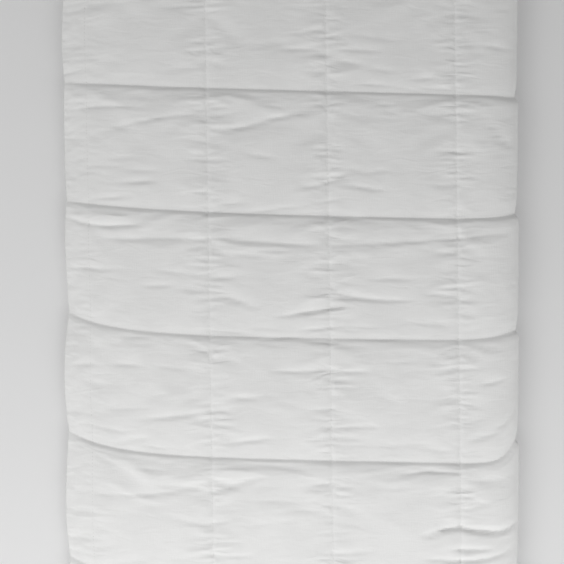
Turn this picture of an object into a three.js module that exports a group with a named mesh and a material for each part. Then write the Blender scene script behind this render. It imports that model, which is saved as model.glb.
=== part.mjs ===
// A bed quilt: two cotton faces with wadding between them, sewn through in squares, folded once along its
// length and lying on a flat surface. Millimetres, +Z up, +Y along the quilt, the fold on the +X side and the
// open edges on the -X side. The origin is on that surface, under the middle of the folded quilt.
import * as THREE from "three";

// Driving sizes of the folded quilt
const foldedWidth = 674;
const stackHeight = 42; // both layers, at the crowns of the squares
const layerGap = 1.6; // between the two layers
const foldDepth = 54; // how far the rounding of the fold reaches in from its outermost line
const foldCloth = 19; // cloth and wadding at the outermost line of the fold
const hemThickness = 4; // each layer at its turned-in edge
const hemRounding = 40; // how far a layer thins towards its edge

// Sewing
const crossLineDepth = 8.5; // how far a line sewn across the quilt draws the outer face in
const lengthLineDepth = 3.4; // and a line sewn along it
const innerLineDepth = 6; // the same on the faces between the layers
const crossFullness = 2.2; // a low power gives a round pillow between lines, a high one a flat top
const innerFullness = 8;
const edgeDrawIn = 7; // how far a cross line pulls in the open edge
const edgeDrawReach = 30;
const restFlat = 2.6; // how far the crowns of the lower face are pressed flat by what they lie on
const crownUnevenness = 1.6; // how much higher or lower the fill of one square stands than its neighbours
const crownRowBeat = 1.9;
const crownColumnBeat = 2.7;

const halfWidth = foldedWidth / 2;
const midHeight = stackHeight / 2;
const foldStart = halfWidth - foldDepth;
const foldArc = Math.PI * Math.hypot(foldDepth, midHeight) / Math.SQRT2; // cloth round the half ellipse
const flatReach = foldArc / 2; // from the fold's outermost line to where the layers lie flat
const upperEdge = flatReach + foldStart + halfWidth; // and to the open edge of the upper layer
const underSetback = 5; // the lower open edge lies this far behind the upper one
const lowerEdge = upperEdge - underSetback;

// The two ends of the quilt, first and last, and the lines sewn across it. On the upper layer a line leans by
// tilt, and it curves towards +Y by leftRise and rightRise over a short reach at its two ends.
const crossLines = [
  { y: -1000, tilt: -0.012, leftRise: 12, leftReach: 75, rightRise: 14, rightReach: 30 },
  { y: -816, tilt: -0.014, leftRise: 20, leftReach: 75, rightRise: 26, rightReach: 28 },
  { y: -633, tilt: -0.016, leftRise: 27, leftReach: 75, rightRise: 42, rightReach: 26 },
  { y: -450, tilt: -0.018, leftRise: 32, leftReach: 75, rightRise: 56, rightReach: 24 },
  { y: -267, tilt: -0.02, leftRise: 33, leftReach: 75, rightRise: 50, rightReach: 20 },
  { y: -86, tilt: -0.017, leftRise: 31, leftReach: 75, rightRise: 19, rightReach: 37 },
  { y: 98, tilt: -0.02, leftRise: 16, leftReach: 130, rightRise: 11, rightReach: 33 },
  { y: 283, tilt: -0.025, leftRise: 6, leftReach: 90, rightRise: -2, rightReach: 30 },
  { y: 466, tilt: -0.022, leftRise: 4, leftReach: 90, rightRise: 2, rightReach: 30 },
  { y: 649, tilt: -0.018, leftRise: 3, leftReach: 90, rightRise: 4, rightReach: 30 },
  { y: 832, tilt: -0.012, leftRise: 3, leftReach: 90, rightRise: 4, rightReach: 30 },
  { y: 1000, tilt: -0.008, leftRise: 4, leftReach: 90, rightRise: 5, rightReach: 30 },
];

// Columns between the lines sewn along the quilt, from the open edge of the upper layer round the fold to that
// of the lower one: a margin, three squares, the square that the fold halves, and the same again. Their sides
// are reaches: lengths of cloth from the fold's outermost line, negative on the lower layer.
const columns = [
  { from: upperEdge, to: 651, kind: "marginFirst", fullness: 3 },
  { from: 651, to: 472, kind: "flat", fullness: 8 },
  { from: 472, to: 290, kind: "flat", fullness: 8 },
  { from: 290, to: 101, kind: "flat", fullness: 8 },
  { from: 101, to: -101, kind: "fold", fullness: 8 },
  { from: -101, to: -290, kind: "flat", fullness: 8 },
  { from: -290, to: -472, kind: "flat", fullness: 8 },
  { from: -472, to: -651, kind: "flat", fullness: 8 },
  { from: -651, to: -lowerEdge, kind: "marginLast", fullness: 3 },
];
const lengthLineLean = 0.017; // the lines sewn along the quilt lie further right towards its near end

// Where the model has points within one square, as shares of its length or width
const alongShares = { end: [0, 0.02, 0.06, 0.13, 0.25, 0.6, 0.93], middle: [0, 0.07, 0.3, 0.7, 0.93] };
const outerShares = {
  marginFirst: [0, 0.1, 0.3, 0.65],
  flat: [0, 0.07, 0.3, 0.7, 0.93],
  fold: [0, 0.07, 0.19, 0.27, 0.35, 0.43, 0.5, 0.57, 0.65, 0.73, 0.81, 0.93],
  marginLast: [0, 0.35, 0.7, 0.9, 1],
};
const innerShares = {
  marginFirst: [0, 0.3],
  flat: [0, 0.07, 0.93],
  fold: [0, 0.07, 0.25, 0.4, 0.5, 0.6, 0.75, 0.93],
  marginLast: [0, 0.7, 1],
};

const mix = THREE.MathUtils.lerp;
const sewnShare = (share, fullness) => Math.abs(2 * share - 1) ** fullness; // 1 on a line, 0 at the crown

// A quarter ellipse: 0 well inside the quilt, 1 on its edge.
function hemShare(distance) {
  const near = 1 - Math.min(distance / hemRounding, 1);
  return 1 - Math.sqrt(1 - near * near);
}

// The outer and inner face of the folded section, before it is sewn.
function sectionAt(reach) {
  const turn = THREE.MathUtils.clamp(reach / flatReach, -1, 1) * Math.PI / 2;
  const x = foldStart - Math.max(Math.abs(reach) - flatReach, 0);
  const outer = new THREE.Vector2(x + foldDepth * Math.cos(turn), midHeight + midHeight * Math.sin(turn));
  const inner = new THREE.Vector2(
    x + (foldDepth - foldCloth) * Math.cos(turn),
    midHeight + (layerGap / 2) * Math.sin(turn),
  );
  return { outer, inner };
}

// The lower layer's lines lie straight, and those of the upper layer curve.
function crossLineY(line, x, reach) {
  const upperShare = THREE.MathUtils.smoothstep(reach, -flatReach, flatReach / 2);
  const leftRise = line.leftRise * Math.exp(-(x + halfWidth) / line.leftReach);
  const rightRise = line.rightRise * Math.exp(-(halfWidth - x) / line.rightReach);
  return line.y + upperShare * (line.tilt * x + leftRise + rightRise);
}

// A column's side at a place along the quilt. The open edges don't lean.
function columnSide(side, straightY) {
  const isEdge = side === upperEdge || side === -lowerEdge;
  return isEdge ? side : side + Math.sign(side) * lengthLineLean * straightY;
}

// One point of the quilt's skin, at a share of a column's width and of a row's length.
function skinPoint(columnIndex, acrossShare, rowIndex, alongShare, isOuter) {
  const column = columns[columnIndex];
  const straightY = mix(crossLines[rowIndex].y, crossLines[rowIndex + 1].y, alongShare);
  const reach = mix(columnSide(column.from, straightY), columnSide(column.to, straightY), acrossShare);
  const { outer, inner } = sectionAt(reach);
  const nearY = crossLineY(crossLines[rowIndex], outer.x, reach);
  const farY = crossLineY(crossLines[rowIndex + 1], outer.x, reach);
  const y = mix(nearY, farY, alongShare);

  const crossDraw = sewnShare(alongShare, crossFullness);
  const lengthDraw = sewnShare(acrossShare, column.fullness) * (1 - crossDraw);
  const lowerShare = 1 - THREE.MathUtils.smoothstep(reach, -flatReach, 0);
  const outerDraw = crossLineDepth * crossDraw + lengthLineDepth * lengthDraw - restFlat * lowerShare;
  const innerDraw = innerLineDepth * Math.max(sewnShare(alongShare, innerFullness), lengthDraw);
  const crown = (1 - crossDraw) * (1 - lengthDraw) * (1 - lowerShare);
  const lift = crownUnevenness * Math.sin(crownRowBeat * rowIndex + crownColumnBeat * columnIndex) * crown;

  const through = outer.clone().sub(inner).normalize();
  outer.addScaledVector(through, lift - Math.max(outerDraw, 0));
  inner.addScaledVector(through, innerDraw);

  const toEdge = reach > 0 ? upperEdge - reach : lowerEdge + reach;
  const toEnd = Math.min(
    rowIndex === 0 ? y - nearY : Infinity,
    rowIndex === crossLines.length - 2 ? farY - y : Infinity,
  );
  const hem = 1 - (1 - hemShare(toEdge)) * (1 - hemShare(toEnd));
  const middle = outer.clone().lerp(inner, 0.5);
  const side = isOuter ? 1 : -1;
  const hemFace = middle.addScaledVector(through, (side * hemThickness) / 2);
  const face = (isOuter ? outer : inner).lerp(hemFace, hem);
  const drawIn = edgeDrawIn * crossDraw * Math.exp(-toEdge / edgeDrawReach);
  return new THREE.Vector3(face.x + drawIn, y, face.y);
}

// Stops along a face of the section, each with its column and its share of that column's width.
function stopsOf(shares) {
  const stopsIn = (column, index) =>
    shares[column.kind].map((share) => ({ index, share, order: index + share }));
  return columns.flatMap(stopsIn);
}
const outerStops = stopsOf(outerShares);
const innerStops = stopsOf(innerShares);

// One closed loop round the folded section: along the outer face to the lower open edge and back along the
// inner face.
function sectionLoop(rowIndex, alongShare) {
  const pointAt = (stop, isOuter) => skinPoint(stop.index, stop.share, rowIndex, alongShare, isOuter);
  const outer = outerStops.map((stop) => pointAt(stop, true));
  const inner = innerStops.map((stop) => pointAt(stop, false));
  return [...outer, ...inner.reverse()];
}

// Fills the section between its two faces with triangles, as places in a loop.
function sectionFaces() {
  const faces = [];
  const lastPlace = outerStops.length + innerStops.length - 1;
  let outer = 0;
  let inner = 0;
  while (outer + 1 < outerStops.length || inner + 1 < innerStops.length) {
    const nextOuter = outerStops[outer + 1]?.order ?? Infinity;
    const nextInner = innerStops[inner + 1]?.order ?? Infinity;
    if (nextOuter <= nextInner) {
      faces.push([outer, outer + 1, lastPlace - inner]);
      outer += 1;
    } else {
      faces.push([outer, lastPlace - inner - 1, lastPlace - inner]);
      inner += 1;
    }
  }
  return faces;
}

// All the loops, from the quilt's near end to its far end.
function allLoops() {
  const rowCount = crossLines.length - 1;
  const loops = [];
  for (let row = 0; row < rowCount; row++) {
    const isLast = row === rowCount - 1;
    const shares = row === 0 || isLast ? alongShares.end : alongShares.middle;
    const forward = isLast ? shares.map((share) => 1 - share).reverse() : shares;
    if (isLast) forward.unshift(0);
    for (const share of forward) loops.push(sectionLoop(row, share));
  }
  return loops;
}

// A closed skin over loops that all have the same number of points, with both ends filled.
function skinOver(loops) {
  const size = loops[0].length;
  const triangles = [];
  for (let loop = 0; loop + 1 < loops.length; loop++) {
    for (let point = 0; point < size; point++) {
      const next = (point + 1) % size;
      const here = loop * size;
      const beyond = here + size;
      triangles.push(here + point, here + next, beyond + next);
      triangles.push(here + point, beyond + next, beyond + point);
    }
  }
  const lastStart = (loops.length - 1) * size;
  for (const [a, b, c] of sectionFaces()) {
    triangles.push(c, b, a);
    triangles.push(lastStart + a, lastStart + b, lastStart + c);
  }
  const geometry = new THREE.BufferGeometry().setFromPoints(loops.flat());
  return geometry.setIndex(triangles);
}

// Puts the origin under the middle of the geometry, on the surface that it lies on.
function stood(geometry) {
  geometry.computeBoundingBox();
  const middle = geometry.boundingBox.getCenter(new THREE.Vector3());
  geometry.translate(-middle.x, -middle.y, -geometry.boundingBox.min.z);
  geometry.computeVertexNormals();
  return geometry;
}

const cotton = new THREE.MeshStandardMaterial({ color: 0xececea, roughness: 0.9, metalness: 0 });
const quilt = new THREE.Mesh(stood(skinOver(allLoops())), cotton);
quilt.name = "quilt";

const part = new THREE.Group();
part.add(quilt);

export default part;
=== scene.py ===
import math
import bmesh
import bpy
import numpy as np
from mathutils import Matrix, Vector


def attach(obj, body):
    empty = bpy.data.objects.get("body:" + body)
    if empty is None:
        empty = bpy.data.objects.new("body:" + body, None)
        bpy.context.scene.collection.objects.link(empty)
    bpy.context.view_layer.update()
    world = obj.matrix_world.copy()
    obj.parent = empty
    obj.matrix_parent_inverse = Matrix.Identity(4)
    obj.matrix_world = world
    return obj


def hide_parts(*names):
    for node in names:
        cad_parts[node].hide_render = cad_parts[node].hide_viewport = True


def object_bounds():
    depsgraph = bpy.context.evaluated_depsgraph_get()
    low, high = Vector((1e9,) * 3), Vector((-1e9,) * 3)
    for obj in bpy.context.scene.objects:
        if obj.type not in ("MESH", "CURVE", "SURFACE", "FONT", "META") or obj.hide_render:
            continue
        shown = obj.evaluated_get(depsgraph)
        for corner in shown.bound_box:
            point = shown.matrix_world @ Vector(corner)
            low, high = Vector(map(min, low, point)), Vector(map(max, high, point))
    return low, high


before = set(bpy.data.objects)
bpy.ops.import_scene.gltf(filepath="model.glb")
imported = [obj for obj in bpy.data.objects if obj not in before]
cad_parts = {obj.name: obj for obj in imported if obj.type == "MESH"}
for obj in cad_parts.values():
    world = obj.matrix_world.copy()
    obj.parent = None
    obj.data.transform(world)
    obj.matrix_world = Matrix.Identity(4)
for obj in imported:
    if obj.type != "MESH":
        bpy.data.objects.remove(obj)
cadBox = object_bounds()
scene = bpy.context.scene
mm = 0.001
nearZero = 1e-9

# Quilt: the folded form, in millimetres, with the sizes of the solid that it replaces
quilt = {
    "foldedWidth": 674,
    "stackHeight": 42,  # both layers, at the crowns of the squares
    "layerGap": 1.6,
    "foldDepth": 54,  # how far the rounding of the fold reaches in
    "foldCloth": 19,  # cloth and wadding at the outermost line of the fold
    "hemThickness": 4,
    "leastThickness": 2.5,  # of the lower layer where it lies on the floor
    "hemRounding": 40,  # how far a layer thins towards its edge
    "underSetback": 5,  # the lower open edge lies behind the upper one
    "seamShare": 0.5,  # of a cross line's depth, in the last stretch above it, the rest is the row's fall
    "seamReach": 14,
    "seamBelow": 5.5,  # below the line the cloth is steep
    "fallShape": 1.5,  # a power, and the higher it is the squarer is the fall to a line or an edge
    "lengthLineWidth": 4.2,  # the shallower line sewn along the quilt
    "innerLineDepth": 6,
    "innerFullness": 8,
    "edgeDrawIn": 4,  # how far a cross line pulls in the open edge
    "edgeDrawReach": 30,
    "upperSag": 20.5,  # how far the open edge of the upper layer sinks
    "lowerSag": 8,
    "sagReach": 55,
    "sagUnevenness": 0.05,
    "edgeWave": 1.2,
    "edgeWaveLengths": (550, 230),
    "edgeWavePhases": (1, 2),  # the first one is turned round for the lower layer
    "cornerDraw": 7,  # how far the two open corners are drawn in
    "cornerReach": 18,
    "restFlat": 2.6,  # how far the lower crowns are pressed flat
    "crownUnevenness": 0.5,
    "crownReach": 50,
    "crownRowBeat": 1.9,
    "crownColumnBeat": 2.7,
    "lengthLineLean": 0.009,  # lines along the quilt lie further right towards its near end
}

# The two ends and the lines sewn across the quilt, which curve at both sides of the upper layer
crossLineColumns = ("y", "tilt", "leftRise", "leftReach", "rightRise", "rightReach", "depth")
crossLineRows = [
    (-1000, -0.012, 12, 75, 14, 30, 0),
    (-816, -0.014, 20, 75, 26, 28, 5.8),
    (-633, -0.019, 27, 75, 42, 26, 6.2),
    (-447, -0.024, 32, 75, 30, 24, 6.0),
    (-261.5, -0.026, 33, 75, 44, 17, 5.3),
    (-81.5, -0.023, 31, 75, 19, 37, 4.5),
    (98.5, -0.026, 16, 130, 11, 33, 5.5),
    (282.5, -0.031, 6, 90, -2, 30, 4.9),
    (463, -0.028, 4, 90, 2, 30, 6.0),
    (649, -0.022, 3, 90, 4, 30, 5.8),
    (832, -0.014, 3, 90, 4, 30, 6.2),
    (1000, -0.008, 4, 90, 5, 30, 0),
]
crossLines = dict(zip(crossLineColumns, np.array(crossLineRows, float).T))

halfWidth = quilt["foldedWidth"] / 2
midHeight = quilt["stackHeight"] / 2
foldStart = halfWidth - quilt["foldDepth"]
flatReach = math.pi * math.hypot(quilt["foldDepth"], midHeight) / math.sqrt(2) / 2  # a quarter of an ellipse
upperEdge = flatReach + foldStart + halfWidth
lowerEdge = upperEdge - quilt["underSetback"]

# Sides of the columns of squares, as lengths of cloth from the fold's outermost line, negative below
columnSides = np.array([upperEdge, 647, 469, 292, 103, -103, -292, -469, -647, -lowerEdge])
lineDepths = np.array([0, 0.2, 1.5, 1.5, 1.5, 1.0, 0.7, 0.7, 0.1, 0])  # how far each side's thread draws in
columnSteps = [10, 24, 24, 24, 32, 10, 10, 10, 3]
simulatedColumns = 5  # the margin, three squares and the square that the fold halves
rowSteps = [50, 50, 50, 92, 92, 92, 92, 92, 50, 50, 50]  # finer where the camera looks
crowding = {  # how much closer grid lines lie by the sewing, and over what share of a square
    "columns": (10, 0.012),
    "rows": (2.5, 0.04),
    "samples": 1001,
}


def stopsIn(stepCounts, extra, reachShare):  # each grid line's square and its share of it
    fine = np.linspace(0, 1, crowding["samples"])
    density = 1 + extra * (np.exp(-fine / reachShare) + np.exp((fine - 1) / reachShare))
    passed = np.concatenate([[0], np.cumsum(density[1:] + density[:-1])])
    passed = passed / passed[-1]
    cells, shares = [], []
    for cell, steps in enumerate(stepCounts):
        cells += [cell] * steps
        shares += list(np.interp(np.arange(steps) / steps, passed, fine))
    return np.array(cells + [len(stepCounts) - 1]), np.array(shares + [1.0])


columnOf, acrossShare = stopsIn(columnSteps, *crowding["columns"])
rowOf, alongShare = stopsIn(rowSteps, *crowding["rows"])
columnLineAt = np.concatenate([[0], np.cumsum(columnSteps)])  # grid index of each line along the quilt
rowLineAt = np.concatenate([[0], np.cumsum(rowSteps)])  # and of each line across it
nearestLine = columnOf + (acrossShare > 0.5)  # the line along the quilt that each grid column is nearest to


def mix(a, b, share):
    return a * (1 - share) + b * share


def smoothStep(value, low, high):
    t = np.clip((value - low) / (high - low), 0, 1)
    return t * t * (3 - 2 * t)


def crossLineY(line, x, reach):
    upperShare = smoothStep(reach, -flatReach, flatReach / 2)
    left = crossLines["leftRise"][line] * np.exp(-(x + halfWidth) / crossLines["leftReach"][line])
    right = crossLines["rightRise"][line] * np.exp(-(halfWidth - x) / crossLines["rightReach"][line])
    return crossLines["y"][line] + upperShare * (crossLines["tilt"][line] * x + left + right)


def hemShare(distance):  # quarter ellipse, 0 well inside and 1 on the edge
    near = 1 - np.minimum(distance / quilt["hemRounding"], 1)
    return 1 - np.sqrt(1 - near * near)


def runOut(distance, reach):  # 1 at no distance, and hardly anything at three times the reach
    return np.exp(-((distance / reach) ** quilt["fallShape"]))


def sectionAt(reach):  # outer and inner face across the quilt, and the direction from inside to outside
    turn = np.clip(reach / flatReach, -1, 1) * np.pi / 2
    flatX = foldStart - np.maximum(np.abs(reach) - flatReach, 0)
    innerDepth = quilt["foldDepth"] - quilt["foldCloth"]
    innerRise = quilt["layerGap"] / 2 * np.sin(turn)
    outer = np.stack([flatX + quilt["foldDepth"] * np.cos(turn), midHeight * (1 + np.sin(turn))], -1)
    inner = np.stack([flatX + innerDepth * np.cos(turn), midHeight + innerRise], -1)
    through = (outer - inner) / np.linalg.norm(outer - inner, axis=-1, keepdims=True)
    return outer, inner, through


def foldedQuilt():  # grids of points on the outer and inner face, with what was measured there
    row, along = rowOf[:, None], alongShare[:, None]
    column, across = columnOf[None, :], acrossShare[None, :]
    straightY = mix(crossLines["y"][row], crossLines["y"][row + 1], along)
    leans = np.abs(columnSides) < lowerEdge
    lean = np.where(leans, np.sign(columnSides) * quilt["lengthLineLean"], 0)
    fromSide = columnSides[column] + lean[column] * straightY
    toSide = columnSides[column + 1] + lean[column + 1] * straightY
    reach = mix(fromSide, toSide, across)
    outer, inner, through = sectionAt(reach)
    nearY = crossLineY(row, outer[..., 0], reach)
    farY = crossLineY(row + 1, outer[..., 0], reach)
    rowLength = farY - nearY
    y = mix(nearY, farY, along)
    toCrossLine = np.minimum(along, 1 - along) * rowLength
    toLengthLine = np.minimum(across, 1 - across) * (fromSide - toSide)

    # The sewn lines draw both faces in, and no two crowns are quite as high
    pillow = np.abs(2 * along - 1) ** 2 + 0 * reach
    lastStretch = runOut(along * rowLength, quilt["seamReach"])
    above = crossLines["depth"][row] * mix((1 - along) ** 2, lastStretch, quilt["seamShare"])
    nextRise = runOut((1 - along) * rowLength, quilt["seamBelow"])
    below = crossLines["depth"][row + 1] * nextRise
    lowerShare = 1 - smoothStep(reach, -flatReach, 0)
    crown = (1 - pillow) * smoothStep(toLengthLine, 0, quilt["crownReach"]) * (1 - lowerShare)
    beat = quilt["crownRowBeat"] * row + quilt["crownColumnBeat"] * column
    lift = quilt["crownUnevenness"] * np.sin(beat) * crown
    outerDraw = np.maximum(above, below) - quilt["restFlat"] * lowerShare
    innerAlong = np.abs(2 * along - 1) ** quilt["innerFullness"]
    innerAcross = np.abs(2 * across - 1) ** quilt["innerFullness"]
    innerDraw = quilt["innerLineDepth"] * np.maximum(innerAlong, innerAcross)
    outer = outer + through * (lift - np.maximum(outerDraw, 0))[..., None]
    inner = inner + through * innerDraw[..., None]

    # The faces close in to a thin turned-in edge
    toEdge = np.where(reach > 0, upperEdge - reach, lowerEdge + reach)
    toNearEnd = np.where(row == 0, y - nearY, np.inf)
    toFarEnd = np.where(row == len(rowSteps) - 1, farY - y, np.inf)
    toEnd = np.minimum(toNearEnd, toFarEnd)
    hem = 1 - (1 - hemShare(toEdge)) * (1 - hemShare(toEnd))
    middle = (outer + inner) / 2
    outer = mix(outer, middle + through * quilt["hemThickness"] / 2, hem[..., None])
    inner = mix(inner, middle - through * quilt["hemThickness"] / 2, hem[..., None])

    # The open edges waver and sag, and their corners are drawn in
    longWave, shortWave = (2 * np.pi * y / length for length in quilt["edgeWaveLengths"])
    longPhase, shortPhase = quilt["edgeWavePhases"]
    wave = np.sin(longWave + longPhase * np.sign(reach)) + np.sin(shortWave + shortPhase)
    edgeIn = quilt["edgeDrawIn"] * pillow + quilt["edgeWave"] * wave
    drawIn = edgeIn * np.exp(-toEdge / quilt["edgeDrawReach"])
    corner = quilt["cornerDraw"] * np.exp(-(toEdge + toEnd) / quilt["cornerReach"])
    inwards = np.where(row == 0, corner, -corner)
    openEnd = smoothStep(np.abs(reach), flatReach, flatReach + 2 * quilt["sagReach"])
    byEnd = openEnd * runOut(toEnd, quilt["sagReach"])
    sagShare = np.maximum(runOut(toEdge, quilt["sagReach"]), byEnd)
    upperSag = quilt["upperSag"] * (1 + quilt["sagUnevenness"] * wave) * sagShare
    lowerSag = quilt["lowerSag"] * sagShare
    outerSag = np.where(reach > 0, upperSag, lowerSag)
    innerSag = np.where(reach > 0, upperSag, mix(upperSag, lowerSag, hem))

    def inSpace(face, sag):
        return np.stack([face[..., 0] + drawIn + corner, y + inwards, face[..., 1] - sag], -1)

    return inSpace(outer, outerSag), inSpace(inner, innerSag), reach, y, toCrossLine, toLengthLine, hem


outerFace, innerFace, reach, clothY, toCrossLine, toLengthLine, hem = foldedQuilt()
innerFace[..., 2] = np.maximum(innerFace[..., 2], quilt["leastThickness"])
print("quilt: folded form of", outerFace.shape[1], "by", outerFace.shape[0], "points")


def outwards(face):  # unit normals of a grid of points
    normal = np.cross(np.gradient(face, axis=1), np.gradient(face, axis=0))
    return normal / np.maximum(np.linalg.norm(normal, axis=-1, keepdims=True), nearZero)


# Cloth: each row of squares is a strip held along its sewn lines, with too much cloth by the thread
cloth = {
    "frames": 24,
    "quality": 5,
    "mass": 0.05,
    "tension": 30,
    "shear": 10,
    "bending": 0.02,
    "airDamping": 2,
    "pressure": 0.03,
    "easeByThread": 0.045,  # share by which the cloth is too long where the thread pulls most
    "easeReach": 26,  # millimetres from the thread
    "pull": (0.2, 0.6, 1.0),  # least, usual and greatest pull of a thread
    "pullSwing": 0.25,
    "pullWaves": (45, 160),  # millimetres over which a thread pulls harder and weaker
    "pullWaveCount": 5,
    "marginPull": 0.35,  # share of it beside the narrow margins
    "foldPull": 0.5,  # share of that pull on the upper turn of the fold
    "foldPlace": 25,  # millimetres of cloth above the fold's outermost line
    "foldReach": 30,
    "keepSeam": 7,  # millimetres by a cross line where the cloth stays as sewn
    "easeLevels": 24,
    "steadyShare": 0.1,  # of a row, to each side: what doesn't change over it is no pucker
    "bridgeShare": 0.6,  # how much of a pucker's height runs on over a lengthwise thread
    "bridgeReach": 7,
    "moveCap": 7,  # millimetres
    "ripples": 40,  # low ripples that start the puckers
    "rippleHeight": 0.04,
    "rippleRest": 0.1,  # share of that height where no thread pulls
    "rippleAlong": (9, 18),  # shortest and longest wave along the quilt
    "rippleAcross": (100, 400),
    "seed": 11,
}


def ripples(x, y, seed):
    rng = np.random.default_rng(seed)
    height = np.zeros_like(x)
    for wave in range(cloth["ripples"]):
        waveAlong = rng.uniform(*cloth["rippleAlong"])
        waveAcross = rng.uniform(*cloth["rippleAcross"]) * rng.choice((-1, 1))
        phase = rng.uniform(0, 2 * np.pi)
        height += np.sin(2 * np.pi * (y / waveAlong + x / waveAcross) + phase)
    return cloth["rippleHeight"] * height


def threadPull(seed):  # 0 to 1 for each point: how hard the nearest lengthwise thread draws up the cloth
    rng = np.random.default_rng(seed)
    along = clothY[:, :1]
    count = cloth["pullWaveCount"]
    least, usual, greatest = cloth["pull"]
    innerLine = np.abs(columnSides) < columnSides[1]
    pulls = []
    for share in np.where(innerLine, 1, cloth["marginPull"]):
        lengths, phases = rng.uniform(*cloth["pullWaves"], count), rng.uniform(0, 2 * np.pi, count)
        waves = np.sin(2 * np.pi * along / lengths + phases).sum(1)
        pulls.append(np.clip(usual + cloth["pullSwing"] * waves, least, greatest) * share)
    byThread = np.array(pulls)[nearestLine].T * np.exp(-((toLengthLine / cloth["easeReach"]) ** 2))
    byFold = pulls[0][:, None] * np.exp(-(((reach - cloth["foldPlace"]) / cloth["foldReach"]) ** 2))
    return np.maximum(byThread, cloth["foldPull"] * byFold)


def gridPlace(mesh, columns, rows):  # each vertex's index in a grid of points that fills a unit square
    co = np.empty(len(mesh.vertices) * 3)
    mesh.vertices.foreach_get("co", co)
    across = np.rint((co[0::3] + 0.5) * (columns - 1)).astype(int)
    along = np.rint((co[1::3] + 0.5) * (rows - 1)).astype(int)
    return along * columns + across


def clothStrip(name, points, pinned, ease):  # a sheet with a Cloth modifier, held where pinned is true
    rows, columns = pinned.shape
    bm = bmesh.new()
    bmesh.ops.create_grid(bm, x_segments=columns - 1, y_segments=rows - 1, size=0.5)
    mesh = bpy.data.meshes.new(name)
    bm.to_mesh(mesh)
    bm.free()
    strip = bpy.data.objects.new(name, mesh)
    scene.collection.objects.link(strip)
    place = gridPlace(mesh, columns, rows)
    mesh.vertices.foreach_set("co", (points.reshape(-1, 3)[place] * mm).ravel())
    sewn = strip.vertex_groups.new(name="sewn")
    sewn.add(np.flatnonzero(pinned.ravel()[place]).tolist(), 1.0, 'REPLACE')
    level = np.rint(ease.ravel()[place] * cloth["easeLevels"])
    slack = strip.vertex_groups.new(name="slack")
    for step in range(cloth["easeLevels"] + 1):
        slack.add(np.flatnonzero(level == step).tolist(), step / cloth["easeLevels"], 'REPLACE')
    modifier = strip.modifiers.new("cloth", 'CLOTH')
    settings = modifier.settings
    settings.quality = cloth["quality"]
    settings.mass = cloth["mass"]
    settings.tension_stiffness = cloth["tension"]
    settings.compression_stiffness = cloth["tension"]
    settings.shear_stiffness = cloth["shear"]
    settings.bending_stiffness = cloth["bending"]
    settings.air_damping = cloth["airDamping"]
    settings.vertex_group_mass = "sewn"
    settings.use_pressure = True
    settings.uniform_pressure_force = cloth["pressure"]
    settings.vertex_group_shrink = "slack"
    settings.shrink_min = -cloth["easeByThread"]
    settings.shrink_max = 0
    settings.effector_weights.gravity = 0
    modifier.collision_settings.use_collision = False
    modifier.point_cache.frame_end = cloth["frames"]
    return strip, place


def steadyPart(move):  # a long bulge beside a thread, which changes little along the quilt
    half = int(len(move) * cloth["steadyShare"])
    sums = np.cumsum(np.pad(move, ((half + 1, half), (0, 0), (0, 0)), mode="edge"), axis=0)
    return (sums[2 * half + 1:] - sums[:-2 * half - 1]) / (2 * half + 1)


def bridged(move, window):  # lets the puckers run on over the lengthwise threads
    result = move.copy()
    for line in columnLineAt[1:simulatedColumns]:
        away = np.abs(reach[window] - reach[window][:, line:line + 1]).mean(0)
        before = line - np.argmax(away[line::-1] > cloth["bridgeReach"])
        after = line + np.argmax(away[line:] > cloth["bridgeReach"])
        across = (move[:, before] + move[:, after]) / 2 * cloth["bridgeShare"]
        share = np.exp(-((away / cloth["bridgeReach"] * 2) ** 2))
        result = mix(result, across[:, None], share[:, None])
    return result


def settle(face):  # simulates all the rows side by side and returns the face with the result
    columns = columnLineAt[simulatedColumns] + 1
    pull = threadPull(cloth["seed"])
    height = ripples(reach, clothY, cloth["seed"]) * (cloth["rippleRest"] + pull)
    start = face + outwards(face) * height[..., None]
    free = 1 - np.exp(-((toCrossLine / cloth["keepSeam"]) ** 2))
    strips = []
    for row, (first, last) in enumerate(zip(rowLineAt[:-1], rowLineAt[1:])):
        window = (slice(first, last + 1), slice(0, columns))
        pinned = np.zeros(start[window].shape[:2], bool)
        pinned[[0, -1], :] = True
        pinned[:, columnLineAt[:simulatedColumns + 1]] = True
        points = np.where(pinned[..., None], face[window], start[window])
        strips.append((window, *clothStrip(f"row{row}", points, pinned, 1 - pull[window])))
    for step in range(1, cloth["frames"] + 1):
        scene.frame_set(step)
    settled = face.copy()
    graph = bpy.context.evaluated_depsgraph_get()
    for window, strip, place in strips:
        co = np.empty(len(place) * 3)
        strip.evaluated_get(graph).data.vertices.foreach_get("co", co)
        points = np.empty((len(place), 3))
        points[place] = co.reshape(-1, 3) / mm
        move = points.reshape(face[window].shape) - face[window]
        move = bridged(move - steadyPart(move), window)
        length = np.linalg.norm(move, axis=-1, keepdims=True)
        move = move * np.minimum(1, cloth["moveCap"] / np.maximum(length, nearZero))
        settled[window] = face[window] + move * free[window][..., None]
    for window, strip, place in strips:
        mesh = strip.data
        bpy.data.objects.remove(strip)
        bpy.data.meshes.remove(mesh)
    scene.frame_set(1)
    return settled


outerFace = settle(outerFace)
print("cloth: rows settled")

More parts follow.
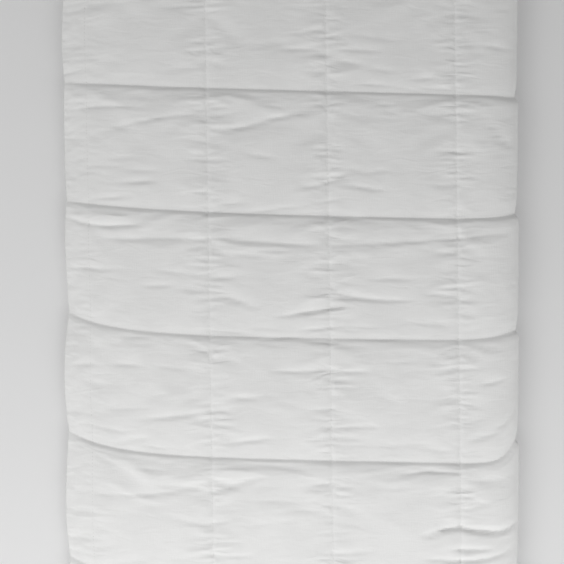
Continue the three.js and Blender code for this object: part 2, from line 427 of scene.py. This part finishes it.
# Creases: soft troughs pressed in by storage, each from one end through its middle to the other end
creaseColumns = ("fromX", "fromY", "viaX", "viaY", "toX", "toY", "depth", "width")
creaseRows = [
    (-13, 341, 17, 342, 46, 341, 2.4, 3.0),
    (61, 326, 85, 322, 104, 315, 2.6, 3.0),
    (68, 340, 100, 340, 134, 337, 2.0, 3.0),
    (178, 295, 197, 298, 214, 299, 2.4, 2.8),
    (281, 346, 299, 343, 317, 336, 2.6, 3.0),
    (-314, 259, -267, 260, -218, 258, 2.8, 3.2),
    (133, 263, 144, 254, 151, 241, 2.6, 2.8),
    (-299, 215, -214, 238, -139, 247, 2.8, 3.2),
    (-121, 213, -45, 234, 46, 257, 3.2, 3.0),
    (280, 244, 309, 207, 324, 199, 4.1, 3.2),
    (4, 135, 52, 146, 82, 161, 3.0, 3.0),
    (77, 146, 107, 138, 136, 134, 2.6, 2.8),
    (-327, 97, -286, 85, -219, 88, 4.4, 3.2),
    (-295, 64, -197, 65, -95, 63, 3.2, 4.8),
    (-108, 63, -29, 58, 44, 53, 3.4, 4.8),
    (44, 53, 213, 60, 330, 72, 3.6, 4.8),
    (-220, -3, -197, -4, -176, -2, 2.0, 2.8),
    (117, 3, 150, 4, 183, 2, 2.0, 2.8),
    (59, -7, 98, -24, 183, -28, 4.2, 3.0),
    (-22, -53, 36, -42, 87, -36, 5.1, 2.8),
    (-117, -18, -81, -26, -52, -41, 3.0, 3.0),
    (17, -70, 49, -68, 80, -64, 2.6, 2.8),
    (-28, -131, 43, -132, 116, -133, 3.5, 3.0),
    (281, -152, 298, -149, 314, -143, 3.0, 3.0),
    (124, -166, 139, -173, 152, -181, 2.0, 2.8),
    (-229, -202, -163, -196, -97, -188, 3.5, 3.2),
    (43, -214, 87, -214, 131, -213, 2.0, 2.8),
    (-104, -239, -68, -234, -31, -230, 3.0, 3.0),
    (299, -219, 316, -208, 329, -185, 4.6, 3.2),
    (262, -236, 284, -229, 307, -222, 2.8, 3.0),
    (152, -284, 181, -282, 211, -277, 2.6, 2.8),
    (-296, -311, -208, -311, -127, -297, 2.8, 3.4),
    (-149, -317, -90, -300, -38, -282, 2.8, 3.2),
    (-134, -356, -116, -355, -98, -351, 2.6, 2.8),
    (-138, -400, -101, -403, -62, -404, 2.4, 2.8),
    (195, -381, 222, -367, 256, -362, 6.8, 3.0),
    (242, -362, 283, -370, 317, -370, 10, 3.6),
    (305, -371, 325, -363, 332, -351, 8.4, 3.2),
    (237, -396, 261, -397, 288, -396, 6.8, 2.8),
    (197, -409, 278, -412, 329, -393, 6.5, 3.2),
]
crease = {
    "samples": 25,
    "above": 1.5,  # a crease runs out on its far side and is steep on its near side
    "below": 0.7,
    "margin": 5,  # widths to each side over which it is worked out
    "endFade": 0.5,  # powers for how it fades to its ends and to its sides
    "sideFade": 1.2,
}

# Small creases, strewn over the whole upper face and mostly lying across the quilt
rumples = {
    "count": 260,
    "length": (25, 80),
    "depth": (0.7, 1.8),
    "width": (2.6, 4.0),
    "nearEnds": 1.5,  # how much wider and deeper they are in the coarser rows
    "slant": 0.22,  # rise over run, at most
    "bow": 0.06,  # share of the length
    "seed": 7,
}


def strewnCreases():
    rng = np.random.default_rng(rumples["seed"])
    coarserFrom = crossLines["y"][-4]  # beyond it, at both ends, lie the coarser rows
    rows = []
    for number in range(rumples["count"]):
        x, y = rng.uniform(-halfWidth, foldStart), rng.uniform(*crossLines["y"][[0, -1]])
        half = rng.uniform(*rumples["length"]) / 2
        rise = half * rng.uniform(-1, 1) * rumples["slant"]
        bow = half * rng.uniform(-1, 1) * rumples["bow"]
        depth, width = rng.uniform(*rumples["depth"]), rng.uniform(*rumples["width"])
        grown = rumples["nearEnds"] if abs(y) > coarserFrom else 1
        rows.append((x - half, y - rise, x, y + bow, x + half, y + rise, depth * grown, width * grown))
    return rows


def creaseHeight(x, y):  # how far the creases press each point of the upper face in
    height = np.zeros_like(x)
    for values in creaseRows + strewnCreases():
        fold = dict(zip(creaseColumns, values))
        t = np.linspace(0, 1, crease["samples"])
        bendX = 2 * fold["viaX"] - (fold["fromX"] + fold["toX"]) / 2
        bendY = 2 * fold["viaY"] - (fold["fromY"] + fold["toY"]) / 2
        pathX = mix(mix(fold["fromX"], bendX, t), mix(bendX, fold["toX"], t), t)
        pathY = mix(mix(fold["fromY"], bendY, t), mix(bendY, fold["toY"], t), t)
        margin = crease["margin"] * fold["width"]
        near = (x > pathX.min() - margin) & (x < pathX.max() + margin)
        near &= (y > pathY.min() - margin) & (y < pathY.max() + margin)
        away = np.hypot(x[near][:, None] - pathX, y[near][:, None] - pathY)
        nearest = away.argmin(1)
        side = np.where(y[near] > pathY[nearest], crease["above"], crease["below"])
        fade = np.sin(np.pi * t[nearest]) ** crease["endFade"]
        trough = np.exp(-((away.min(1) / (fold["width"] * side)) ** crease["sideFade"]))
        height[near] -= fold["depth"] * fade * trough
    return height


def sewnIn():  # how far the lengthwise threads draw each point in
    lengthLine = lineDepths[nearestLine] * np.exp(-((toLengthLine / quilt["lengthLineWidth"]) ** 2))
    return lengthLine * (1 - hem)


pressed = creaseHeight(outerFace[..., 0], outerFace[..., 1]) * smoothStep(reach, 0, flatReach)
outerFace = outerFace + outwards(outerFace) * (pressed - sewnIn())[..., None]
outerFace[..., 2] = np.maximum(outerFace[..., 2], 0)
print("creases:", len(creaseRows), "deepest", round(-pressed.min(), 2), "mm")


def hexColour(code):  # sRGB hex to linear
    parts = [int(code[i:i + 2], 16) / 255 for i in (1, 3, 5)]
    return tuple(p / 12.92 if p <= 0.04045 else ((p + 0.055) / 1.055) ** 2.4 for p in parts) + (1.0,)


def addNode(tree, kind, settings=(), values=(), links=()):  # one node with its settings and its links
    node = tree.nodes.new(kind)
    for name, value in dict(settings).items():
        setattr(node, name, value)
    for name, value in dict(values).items():
        node.inputs[name].default_value = value
    for name, source in dict(links).items():
        tree.links.new(source, node.inputs[name])
    return node


def newMaterial(name, values):  # a material with constant values on its shader
    material = bpy.data.materials.new(name)
    material.use_nodes = True
    shader = material.node_tree.nodes["Principled BSDF"]
    for socket, value in values.items():
        shader.inputs[socket].default_value = value
    return material, material.node_tree, shader


# Cotton percale, washed: matt white with a faint bloom at grazing angles, fine crinkles and a plain weave
percale = {
    "white": "#F2F2F1",
    "shade": "#EEEEED",
    "roughness": 0.88,
    "sheen": 0.12,
    "specular": 0.25,
    "patch": 60,  # millimetres across a patch of slightly greyer cloth
    "patchDetail": 3,
    "patchEdges": (0.35, 0.65),  # the darker tone ends at the first and the lighter one starts at the second
    "crinkleAlong": 14,  # millimetres from crinkle to crinkle
    "crinkleAcross": 40,
    "crinkleDetail": 0.8,
    "crinkleRoughness": 0.4,
    "crinkleTwist": 1.2,
    "crinkleHeight": 1.9,  # by a lengthwise thread
    "crinkleRest": 0.3,  # share of that height where no thread pulls
    "thread": 1.2,  # drawn four times as coarse as real percale, so that it shows at all
    "threadRun": 16,  # length of a thicker stretch of thread
    "threadDetail": 1,
    "threadHeight": 0.16,
}


def cottonPercale():
    material, tree, shader = newMaterial("cottonPercale", {
        "Roughness": percale["roughness"],
        "Sheen Weight": percale["sheen"],
        "Specular IOR Level": percale["specular"],
    })
    cut = addNode(tree, "ShaderNodeUVMap", {"uv_map": "cloth"}).outputs["UV"]  # metres of flat cloth
    patchScale = {"Scale": 1 / (percale["patch"] * mm), "Detail": percale["patchDetail"]}
    patches = addNode(tree, "ShaderNodeTexNoise", values=patchScale, links={"Vector": cut})
    ramp = addNode(tree, "ShaderNodeValToRGB", links={"Fac": patches.outputs["Fac"]})
    tones = (percale["shade"], percale["white"])
    for stop, position, tone in zip(ramp.color_ramp.elements, percale["patchEdges"], tones):
        stop.position = position
        stop.color = hexColour(tone)
    tree.links.new(ramp.outputs["Color"], shader.inputs["Base Color"])
    stretch = (percale["crinkleAlong"] / percale["crinkleAcross"], 1, 1)
    along = addNode(tree, "ShaderNodeMapping", values={"Scale": stretch}, links={"Vector": cut})
    crinkleForm = {
        "Scale": 1 / (percale["crinkleAlong"] * mm),
        "Detail": percale["crinkleDetail"],
        "Roughness": percale["crinkleRoughness"],
        "Distortion": percale["crinkleTwist"],
    }
    crinkle = addNode(tree, "ShaderNodeTexNoise", values=crinkleForm,
                      links={"Vector": along.outputs["Vector"]})
    pull = addNode(tree, "ShaderNodeAttribute", {"attribute_name": "threadPull"})
    strength = addNode(tree, "ShaderNodeMapRange", values={"To Min": percale["crinkleRest"], "To Max": 1.0},
                       links={"Value": pull.outputs["Fac"]})
    crinkleBump = addNode(tree, "ShaderNodeBump", values={"Distance": percale["crinkleHeight"] * mm},
                          links={"Height": crinkle.outputs["Fac"], "Strength": strength.outputs["Result"]})
    threadForm = {"Scale": 1 / (percale["thread"] * mm), "Detail": percale["threadDetail"]}
    run = percale["thread"] / percale["threadRun"]
    threads = []
    for lengthened in ((1, run, 1), (run, 1, 1)):  # warp and weft
        lie = addNode(tree, "ShaderNodeMapping", values={"Scale": lengthened}, links={"Vector": cut})
        threads.append(addNode(tree, "ShaderNodeTexNoise", values=threadForm,
                               links={"Vector": lie.outputs["Vector"]}))
    weave = addNode(tree, "ShaderNodeMath", {"operation": 'ADD'},
                    links={number: thread.outputs["Fac"] for number, thread in enumerate(threads)})
    weaveBump = addNode(tree, "ShaderNodeBump", values={"Distance": percale["threadHeight"] * mm},
                        links={"Height": weave.outputs["Value"], "Normal": crinkleBump.outputs["Normal"]})
    tree.links.new(weaveBump.outputs["Normal"], shader.inputs["Normal"])
    return material


# The closed quilt: both faces, joined along the turned-in edge, with a coarser grid inside and below
coarse = {
    "columnSteps": [4, 6, 6, 6, 8, 5, 5, 5, 2],
    "rowSteps": [8] * len(rowSteps),
    "firstUnseen": columnLineAt[simulatedColumns] + 1,  # first grid column under the quilt
    "slab": 0.1,  # thickness of the flat slab, in widths, before it takes its form
}


def stopsThatStay(stepCounts, coarseCounts, first):  # each grid line's nearest one in the coarser grid
    starts = np.concatenate([[0], np.cumsum(stepCounts)])
    stops = []
    for start, steps, count in zip(starts, stepCounts, coarseCounts):
        stops += [start + round(steps * number / count) for number in range(count)]
    stops = np.array([stop for stop in stops if stop >= first])
    return stops[np.abs(np.arange(starts[-1] + 1)[:, None] - stops).argmin(1)]


def flatSlab():  # outer and inner face, closed all round, the unseen points welded to the coarser grid
    alongSteps, acrossSteps = (count - 1 for count in reach.shape)
    bm = bmesh.new()
    bmesh.ops.create_grid(bm, x_segments=acrossSteps, y_segments=alongSteps, size=0.5)
    bmesh.ops.solidify(bm, geom=bm.faces[:], thickness=coarse["slab"])
    rowStops = stopsThatStay(rowSteps, coarse["rowSteps"], 1)
    innerStops = stopsThatStay(columnSteps, coarse["columnSteps"], 1)
    outerStops = stopsThatStay(columnSteps, coarse["columnSteps"], coarse["firstUnseen"])
    grid = {}
    for vert in bm.verts:
        along, across = round((vert.co.y + 0.5) * alongSteps), round((vert.co.x + 0.5) * acrossSteps)
        grid[abs(vert.co.z) > coarse["slab"] / 2, along, across] = vert
    weld = {}
    for (isInner, along, across), vert in grid.items():
        onRim = along in (0, alongSteps) or across in (0, acrossSteps)
        if onRim or not isInner and across < coarse["firstUnseen"]:
            continue
        stop = grid[isInner, rowStops[along], (innerStops if isInner else outerStops)[across]]
        if stop != vert:
            weld[vert] = stop
    bmesh.ops.weld_verts(bm, targetmap=weld)
    mesh = bpy.data.meshes.new("quilt")
    bm.to_mesh(mesh)
    bm.free()
    return mesh


def quiltPiece():
    mesh = flatSlab()
    co = np.empty(len(mesh.vertices) * 3)
    mesh.vertices.foreach_get("co", co)
    isInner = np.abs(co[2::3]) > coarse["slab"] / 2
    rows, columns = reach.shape
    place = gridPlace(mesh, columns, rows)
    points = np.where(isInner[:, None], innerFace.reshape(-1, 3)[place], outerFace.reshape(-1, 3)[place])
    middle = (points.max(0) + points.min(0)) / 2
    cadMiddle = (np.array(cadBox[0]) + np.array(cadBox[1])) / 2 / mm
    shift = np.array([cadMiddle[0] - middle[0], cadMiddle[1] - middle[1], 0])
    mesh.vertices.foreach_set("co", ((points + shift) * mm).ravel())
    corners = np.empty(len(mesh.loops), int)
    mesh.loops.foreach_get("vertex_index", corners)
    flat = np.stack([reach.ravel()[place], clothY.ravel()[place]], -1) * mm
    mesh.uv_layers.new(name="cloth").data.foreach_set("uv", flat[corners].ravel())
    pull = mesh.attributes.new("threadPull", 'FLOAT', 'POINT')
    pull.data.foreach_set("value", threadPull(cloth["seed"]).ravel()[place])
    mesh.update()
    mesh.shade_smooth()
    mesh.materials.append(cottonPercale())
    piece = bpy.data.objects.new("quilt_cloth", mesh)
    scene.collection.objects.link(piece)
    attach(piece, "root")
    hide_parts("quilt")
    mesh.calc_loop_triangles()
    print("quilt: triangles", len(mesh.loop_triangles))
    return shift


shift = quiltPiece()

# Stitches: one short length of cotton thread after another along every sewn line, on both outer faces
stitches = {
    "pitch": 5.2,  # drawn half as many as a machine sews, so that each one shows
    "length": 4.2,
    "thickness": 0.6,
    "sunk": 0.36,  # how far the thread lies in the cloth
    "white": "#F4F4F3",
    "shade": "#E4E4E2",
    "patch": 8,  # millimetres from a whiter stretch to a greyer one
    "patchDetail": 2,
    "roughness": 0.6,
    "sheen": 0.2,
    "twist": 0.8,  # coarser than a real twist, so that it shows
    "twistHeight": 0.1,
}


def cottonThread():  # mercerised cotton: a tight white twist with a soft gloss
    material, tree, shader = newMaterial("cottonThread", {
        "Roughness": stitches["roughness"],
        "Sheen Weight": stitches["sheen"],
    })
    place = addNode(tree, "ShaderNodeTexCoord").outputs["Object"]
    patchScale = {"Scale": 1 / (stitches["patch"] * mm), "Detail": stitches["patchDetail"]}
    patches = addNode(tree, "ShaderNodeTexNoise", values=patchScale, links={"Vector": place})
    ramp = addNode(tree, "ShaderNodeValToRGB", links={"Fac": patches.outputs["Fac"]})
    for stop, tone in zip(ramp.color_ramp.elements, (stitches["shade"], stitches["white"])):
        stop.color = hexColour(tone)
    tree.links.new(ramp.outputs["Color"], shader.inputs["Base Color"])
    twistScale = {"Scale": 1 / (stitches["twist"] * mm)}
    twist = addNode(tree, "ShaderNodeTexNoise", values=twistScale, links={"Vector": place})
    bump = addNode(tree, "ShaderNodeBump", values={"Distance": stitches["twistHeight"] * mm},
                   links={"Height": twist.outputs["Fac"]})
    tree.links.new(bump.outputs["Normal"], shader.inputs["Normal"])
    return material


def alongLine(distance, passed, values):  # the value at a distance along a line of points
    return np.array([np.interp(distance, passed, values[:, axis]) for axis in range(3)])


def sewLine(bm, points, normals):  # lays stitches along a line of points on the cloth, all in millimetres
    steps = np.linalg.norm(np.diff(points, axis=0), axis=1)
    passed = np.concatenate([[0], np.cumsum(steps)])
    for middle in np.arange(stitches["pitch"], passed[-1] - stitches["pitch"], stitches["pitch"]):
        ends = middle + np.array([-0.5, 0.5]) * stitches["length"]
        tail, head = (alongLine(end, passed, points) for end in ends)
        up = Vector(alongLine(middle, passed, normals)).normalized()
        run = Vector(head - tail).normalized()
        side = up.cross(run).normalized()
        turn = Matrix((run, side, run.cross(side))).transposed()
        rise = stitches["thickness"] / 2 - stitches["sunk"]
        place = Matrix.Translation((Vector((head + tail) / 2) + up * rise) * mm) @ turn.to_4x4()
        halves = [stitches[measure] / 2 for measure in ("length", "thickness", "thickness")]
        size = Matrix.Diagonal((*halves, 1 / mm))
        bmesh.ops.create_icosphere(bm, subdivisions=1, radius=1, matrix=place @ (size * mm))


def stitchPiece():
    normals = outwards(outerFace)
    mesh = bpy.data.meshes.new("stitches")
    whole = bmesh.new()
    lines = [(line, slice(None)) for line in rowLineAt[1:-1]]
    lines += [(slice(None), line) for line in columnLineAt[1:-1]]
    for line in lines:
        bm = bmesh.new()
        sewLine(bm, outerFace[line] + shift, normals[line])
        bm.to_mesh(mesh)
        bm.free()
        whole.from_mesh(mesh)
    for face in whole.faces:
        face.smooth = True
    whole.to_mesh(mesh)
    whole.free()
    mesh.materials.append(cottonThread())
    piece = bpy.data.objects.new("quilt_stitches", mesh)
    scene.collection.objects.link(piece)
    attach(piece, "root")
    print("stitches: triangles", len(mesh.polygons))


stitchPiece()

# Floor, light and camera
studio = {
    "floorSize": 120,
    "floorDrop": 0.4,  # millimetres under the quilt
    "floorLight": "#F2F2F2",
    "floorShade": "#EDEDED",
    "floorPatch": 0.4,  # metres from one faint patch to the next
    "floorRoughness": 0.9,
    "fill": 0.265,
    "softboxes": {  # place, aim, width, height, watts
        "near": ((0.0, -0.85, 0.85), (0.0, -0.2, 0.0), 2.2, 0.6, 6.8),
        "side": ((-1.2, 0.2, 1.0), (-0.25, 0.2, 0.0), 2.2, 0.6, 2.5),
    },
    "skies": {  # wide and far off: azimuth, elevation, angle across, strength
        "right": (-50, 22, 60, 0.72),
        "left": (185, 30, 70, 0.6),
    },
    "sensor": 36,  # millimetres
    "cameraHeight": 1.9,
    "cameraTilt": 0.8,  # degrees
    "cameraRoll": -0.34,
    "viewWidth": 0.828,  # metres across the picture at the top of the quilt
    "aim": (-0.0133, 0.0),
}


def paintedBoard():  # matt paint: a plain pale grey that is hardly uneven
    material, tree, shader = newMaterial("paintedBoard", {"Roughness": studio["floorRoughness"]})
    place = addNode(tree, "ShaderNodeTexCoord").outputs["Object"]
    patchScale = {"Scale": 1 / studio["floorPatch"]}
    patches = addNode(tree, "ShaderNodeTexNoise", values=patchScale, links={"Vector": place})
    ramp = addNode(tree, "ShaderNodeValToRGB", links={"Fac": patches.outputs["Fac"]})
    for stop, tone in zip(ramp.color_ramp.elements, (studio["floorShade"], studio["floorLight"])):
        stop.color = hexColour(tone)
    tree.links.new(ramp.outputs["Color"], shader.inputs["Base Color"])
    return material


def makeFloor():
    bm = bmesh.new()
    bmesh.ops.create_grid(bm, x_segments=1, y_segments=1, size=studio["floorSize"] / 2)
    mesh = bpy.data.meshes.new("floor")
    bm.to_mesh(mesh)
    bm.free()
    mesh.transform(Matrix.Translation((0, 0, -studio["floorDrop"] * mm)))
    floor = bpy.data.objects.new("floor", mesh)
    mesh.materials.append(paintedBoard())
    scene.collection.objects.link(floor)


def makeLights():
    for name, (place, aim, width, height, watts) in studio["softboxes"].items():
        light = bpy.data.lights.new(name, 'AREA')
        light.shape = 'RECTANGLE'
        light.size, light.size_y = width, height
        light.energy = watts
        lamp = bpy.data.objects.new(name, light)
        lamp.location = place
        lamp.rotation_euler = (Vector(aim) - Vector(place)).to_track_quat('-Z', 'Y').to_euler()
        lamp.visible_camera = False
        scene.collection.objects.link(lamp)
    for name, (azimuth, elevation, across, strength) in studio["skies"].items():
        sky = bpy.data.lights.new(name, 'SUN')
        sky.angle = math.radians(across)
        sky.energy = strength
        lamp = bpy.data.objects.new(name, sky)
        lamp.rotation_euler = (0, math.radians(90 - elevation), math.radians(azimuth))
        scene.collection.objects.link(lamp)
    world = bpy.data.worlds.new("fill")
    world.use_nodes = True
    world.node_tree.nodes["Background"].inputs["Color"].default_value = (1, 1, 1, 1)
    world.node_tree.nodes["Background"].inputs["Strength"].default_value = studio["fill"]
    scene.world = world
    scene.view_settings.view_transform = 'Standard'


def makeCamera():
    data = bpy.data.cameras.new("camera")
    data.sensor_width = studio["sensor"]
    data.lens = studio["sensor"] * studio["cameraHeight"] / studio["viewWidth"]
    camera = bpy.data.objects.new("camera", data)
    tilt = math.radians(studio["cameraTilt"])
    aim = Vector((*studio["aim"], quilt["stackHeight"] * mm))
    camera.location = aim + studio["cameraHeight"] * Vector((0, math.sin(tilt), math.cos(tilt)))
    camera.rotation_euler = (-tilt, 0, math.radians(studio["cameraRoll"]))
    scene.collection.objects.link(camera)
    scene.camera = camera


makeFloor()
makeLights()
makeCamera()
print("studio: ready")
